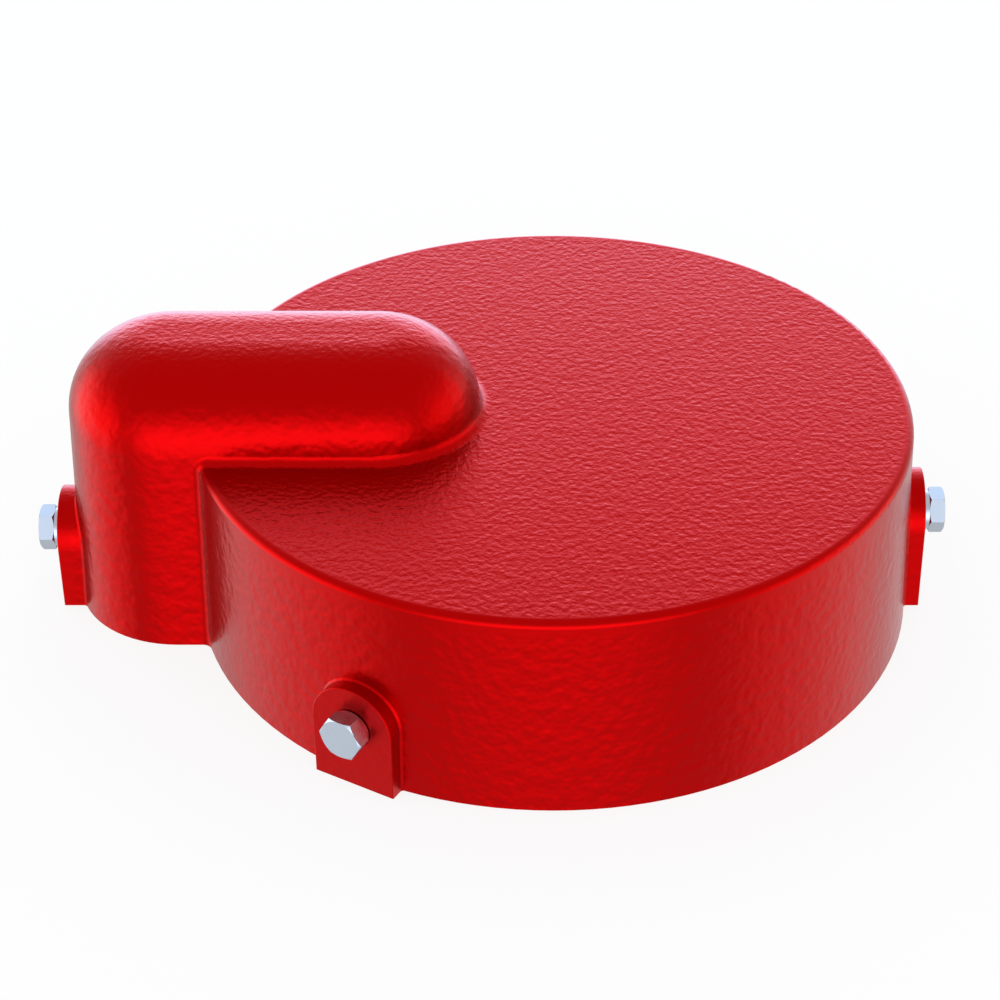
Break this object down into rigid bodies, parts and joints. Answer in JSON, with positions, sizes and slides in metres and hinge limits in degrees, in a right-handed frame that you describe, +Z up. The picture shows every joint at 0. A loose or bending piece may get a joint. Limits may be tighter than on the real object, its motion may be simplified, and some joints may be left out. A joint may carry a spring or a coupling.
{
  "type": "well cap",
  "caption": "Round cast cap that slips over a steel well casing, with a hollow cable hood over the rim to a conduit socket and hex set screws in arched lugs.",
  "frame": {"origin": "centre of the casing bore at the open mouth of the skirt", "axes": "+Z up along the bore towards the top plate, -X towards the cable hood and conduit, +X towards the set screw opposite the hood"},
  "size_m": [0.2976, 0.234, 0.0968],
  "materials": {
    "casting": "red enamel over an as-cast iron surface, glossy with an orange-peel grain",
    "gasket": "matt black moulded rubber",
    "zinc_steel": "bright zinc-plated steel"
  },
  "bodies": {
    "cap": {"cap_casting": "casting", "casing_gasket": "gasket"},
    "casing_screw_right": {"casing_screw_right": "zinc_steel"},
    "casing_screw_rear": {"casing_screw_rear": "zinc_steel"},
    "casing_screw_front": {"casing_screw_front": "zinc_steel"},
    "conduit_screw": {"conduit_screw": "zinc_steel"}
  },
  "joints": [
    {"name": "casing_screw_right_travel", "type": "slide", "parent": "cap", "child": "casing_screw_right", "axis": [1, 0, 0], "range_m": [-0.001, 0.008]},
    {"name": "casing_screw_rear_travel", "type": "slide", "parent": "cap", "child": "casing_screw_rear", "axis": [-0.5, 0.866, 0], "range_m": [-0.0003, 0.008]},
    {"name": "casing_screw_front_travel", "type": "slide", "parent": "cap", "child": "casing_screw_front", "axis": [-0.5, -0.866, 0], "range_m": [-0.0003, 0.008]},
    {"name": "conduit_screw_travel", "type": "slide", "parent": "cap", "child": "conduit_screw", "axis": [-1, 0, 0], "range_m": [-0.001, 0.008]}
  ]
}
